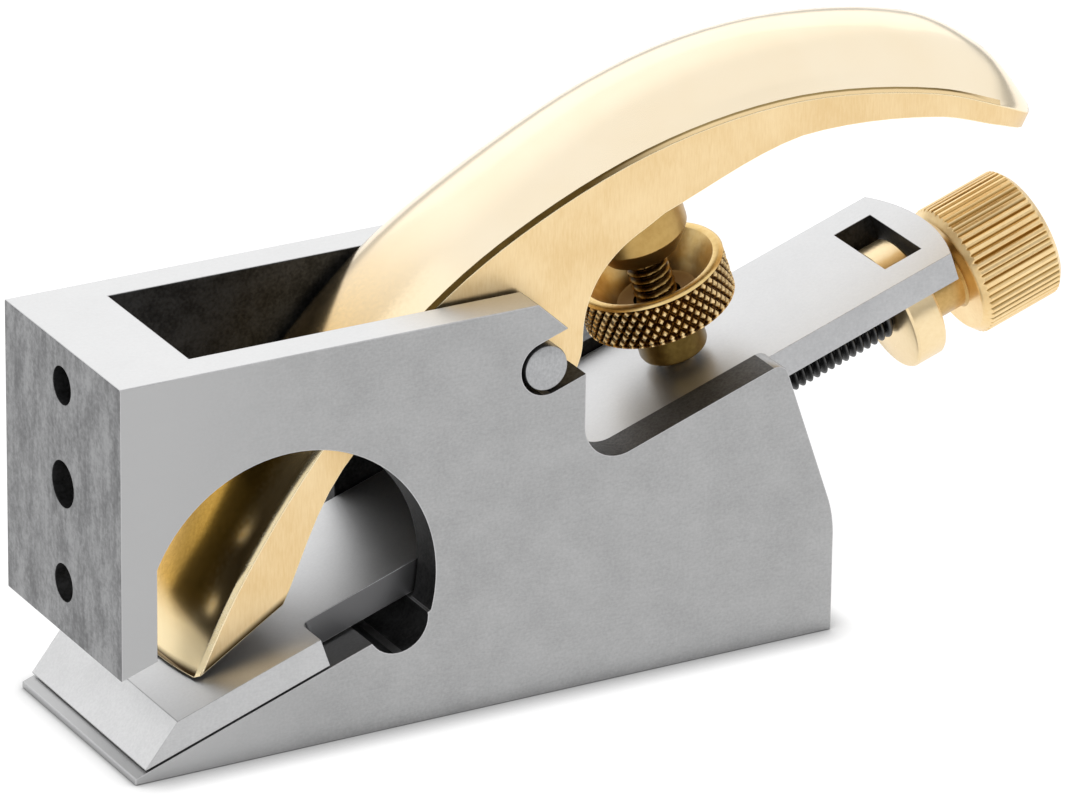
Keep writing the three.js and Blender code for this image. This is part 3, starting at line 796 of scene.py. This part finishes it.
# %% Thumb wheel
wheel_foot, wheel_top, wheel_radius = 10.6, 16.6, 8.8
knurl_low, knurl_high, knurl_starts, knurl_lead, knurl_depth = 11.25, 16.2, 44, 1.65, 0.46
dish_floor, dish_radius = 11.5, 7.6
wheel_profile = (
    [(4.9, 2.8), (4.9, 3.3), (5.0, 3.55), (5.25, 3.85), (5.6, 4.0), (9.9, 4.0), (10.3, 4.15), (10.55, 4.5)]
    + [(wheel_foot, 5.0), (wheel_foot, 7.8), (wheel_foot + 0.2, 8.2)]
    + fine([(knurl_low - 0.05, wheel_radius), (knurl_high + 0.05, wheel_radius)], 0.13)
    + [(16.42, 8.68), (16.55, 8.5), (wheel_top, 8.3), (wheel_top, 7.85), (16.52, 7.65), (16.3, 7.5)]
    + [(15.6, 7.05), (14.6, 6.4), (13.6, 5.75), (12.9, 5.2), (12.5, 4.7), (12.4, 4.3), (12.4, 2.8), (4.9, 2.8)]
)


def knurl(radius, turn, height):
    left = wave(knurl_starts * turn + height / knurl_lead)
    right = wave(knurl_starts * turn - height / knurl_lead)
    pyramid = np.clip((np.minimum(left, right) - 0.12) / 0.5, 0, 1)
    on_knurl = (height > knurl_low) & (height < knurl_high) & (radius > wheel_radius - 0.01)
    return np.where(on_knurl, radius - knurl_depth * (1 - pyramid), radius)


def wheel_face(centre, normal):
    height, radius = height_and_radius(centre, on_screw_axis)
    # painted shade: the hub under the wheel
    if height < wheel_foot + 0.15:
        return hub_painted_shade
    in_dish = height > dish_floor and radius < dish_radius
    return dish_brass if in_dish or height > knurl_high + 0.1 else wheel_brass


thumb_wheel = turned("wheel_knurled", wheel_profile, 528, knurl)
lay(thumb_wheel, on_screw_axis, smooth=24)
paint(thumb_wheel, wheel_brass, dish_brass, hub_painted_shade, choose=wheel_face)
stands_for(thumb_wheel, "thumb_wheel", "thumb_wheel")

# %% [markdown]
# The knob has fine straight flutes, pressed along its length by a wheel. Both ends are chamfered after the
# knurling, so the flutes run out on the chamfers. Its neck and the inner corner of its front face are painted brown
# as the shade behind the blade.

# %% Adjuster knob
neck_run, neck_radius, knob_run, knob_end, knob_radius = 111.9, 4.0, 116.75, 127.75, 8.0
flute_count, flute_depth, plain_radius = 54, 0.3, 7.3
knob_profile = (
    [(neck_run, 2.3), (neck_run, 3.8), (neck_run + 0.2, neck_radius), (knob_run - 0.3, neck_radius), (knob_run, 4.3)]
    + fine([(knob_run, 7.0), (knob_run + 0.1, 7.2), (knob_run + 0.8, knob_radius)], 0.25)
    + fine([(knob_run + 1.0, knob_radius), (knob_end - 0.8, knob_radius), (knob_end - 0.1, 7.2)], 0.5)
    + [(knob_end, 7.0), (knob_end, 3.2), (knob_end - 0.25, 2.9), (knob_end - 0.35, 0)]
)


def flutes(radius, turn, height):
    """Shallow flutes, of which every third is pressed a little deeper, as a worn knurling wheel leaves them."""
    deeper = 1 + 0.35 * (np.floor(flute_count * turn + 0.5) % 3 == 0)
    groove = np.clip(1 - wave(flute_count * turn) / 0.6, 0, 1) * deeper / 1.35
    fluted = knob_radius - flute_depth * groove
    return np.where(radius > plain_radius, np.minimum(radius, fluted), radius)


def knob_face(centre, normal):
    height, radius = height_and_radius(centre, on_rod_axis)
    # painted shade: the neck and the inner corner of the front face
    in_corner = height < knob_run + 0.3 and radius < neck_radius + 0.4
    return neck_painted_shade if height < knob_run - 0.1 or in_corner else knob_brass


adjuster_knob = turned("knob_fluted", knob_profile, 648, flutes)
lay(adjuster_knob, on_rod_axis, smooth=24)
paint(adjuster_knob, knob_brass, neck_painted_shade, choose=knob_face)
stands_for(adjuster_knob, "adjuster_knob", "adjuster")

# %% [markdown]
# The collar fills the blade's hole and carries the blade to and fro. The pin crosses the body and rests in its open
# slots. Both are plain turned pieces with their edges broken, so the profile alone gives the shape, and the pin's
# is one end and its mirror image.

# %% Collar and pin
collar_profile = [
    (107.5, 2.3), (107.5, 6.9), (107.62, 7.2), (107.9, 7.4),
    (111.2, 7.4), (111.48, 7.2), (111.6, 6.9), (111.6, 2.3), (107.5, 2.3),
]
adjuster_collar = turned("collar_turned", collar_profile, 96)
lay(adjuster_collar, on_rod_axis)
paint(adjuster_collar, collar_brass)
stands_for(adjuster_collar, "adjuster_collar", "adjuster")

pin_place = Vector((6.746, 0, 39.884)) * MM
pin_end = [(14.0, 2.7), (14.22, 2.6), (14.3, 2.4), (14.3, 0)]
pin_profile = [(-height, radius) for height, radius in reversed(pin_end)] + pin_end
pivot_pin = turned("pin_turned", pin_profile, 64)
lay(pivot_pin, Matrix.Translation(pin_place) @ Matrix.Rotation(-math.pi / 2, 4, "X"))
paint(pivot_pin, pin_steel)
stands_for(pivot_pin, "pivot_pin", "lever_cap")

# %% [markdown]
# The plane stands on a white sheet under soft light. The sheet has to be white for the camera and in reflections,
# and still carry the shadow. So it glows for those rays alone, and the glow is weaker where something stands close
# above it, which paints a contact shadow round the plane.

# %% Floor
shadow_reach = 4 * MM
bpy.ops.mesh.primitive_plane_add(size=8, location=(0, 0, -0.05 * MM))
floor = bpy.context.object
floor.name = "floor"
sheet = Finish("white_sheet", Roughness=0.9, Base_Color=(0.5, 0.5, 0.5, 1), Specular_IOR_Level=0)
seen = sheet.ray("Camera") + sheet.ray("Glossy") + sheet.ray("Transmission")
open_above = sheet.add("ShaderNodeAmbientOcclusion", {"samples": 8}, {"Distance": shadow_reach}, "AO") ** 2
glow = sheet.add("ShaderNodeEmission", inputs={"Color": (1, 1, 1, 1), "Strength": 0.82 * open_above * seen})
lit = Channel(sheet, sheet.shader.outputs["BSDF"])
both = sheet.add("ShaderNodeAddShader", inputs={0: glow, 1: lit})
sheet.feed(sheet.tree.nodes["Material Output"].inputs["Surface"], both)
floor.data.materials.append(sheet.material)
print("floor stage laid")

# %% [markdown]
# Polished metal has no look of its own and shows the room. The room here is white, as a tent of paper is. Behind
# the plane it is brighter, where the large lamp shines through the paper, and the edge of that glow is soft, so it
# draws no stripe on the crown. The side where the photographer stands and a low skirting all round are darker,
# which draws a thin line along every rounded edge. For the camera the room is plain white, and on matt surfaces,
# such as the sheet, it sheds less light.

# %% Room
world = bpy.data.worlds.new("studio")
bpy.context.scene.world = world
bpy.context.scene.view_settings.view_transform = "Standard"
world.use_nodes = True
room = NodeTree(world.node_tree)
towards = room.add("ShaderNodeTexCoord", output="Generated")


def part_of_room(direction, reach, softness):
    """1 where the room lies towards direction, and 0 elsewhere. Reach and softness are cosines."""
    return room.dot(towards, direction.normalized()).above(reach, softness)


bright_side = Vector((0.12, 0.80, 0.59))
dark_side = Vector((0.15, -0.97, 0.18))
lamp_glow = part_of_room(bright_side, 0.76, 0.2)
unlit = part_of_room(dark_side, 0.88, 0.08)
skirting = 1 - part_of_room(upwards, 0.15, 0.09)
paper = (1 + 0.17 * lamp_glow - 0.3 * unlit - 0.5 * skirting) * (1 - 0.45 * room.ray("Diffuse"))
to_camera = room.ray("Camera")
sky = room.tree.nodes["Background"]
sky.inputs["Color"].default_value = (1, 1, 1, 1)
room.feed(sky.inputs["Strength"], to_camera + (1 - to_camera) * paper)
print("room is bright towards", [round(value, 2) for value in bright_side])

# %% [markdown]
# Two large softboxes, behind and at the near left, give the sheet its soft shadow and the brass its highlights.
# They are weak, because the room does most of the work.

# %% Lamps
def softbox(name, place, aim, width, height, brightness):
    """An area lamp whose brightness is that of its face: 1 is as bright as a white sheet in full light."""
    bpy.ops.object.light_add(type="AREA", location=place)
    lamp = bpy.context.object
    lamp.name = name
    lamp.data.shape = "RECTANGLE"
    lamp.data.size = width
    lamp.data.size_y = height
    lamp.data.energy = brightness * math.pi * width * height
    lamp.rotation_euler = (Vector(aim) - Vector(place)).to_track_quat("-Z", "Y").to_euler()
    print(name, "gives", round(lamp.data.energy, 2), "W")


softbox("back_softbox", (0.62, 1.12, 0.7), (0, 0, 0.05), 1.7, 0.9, 0.15)
softbox("side_softbox", (-0.9, -0.1, 1.0), (0, 0, 0.03), 1.0, 0.8, 0.15)
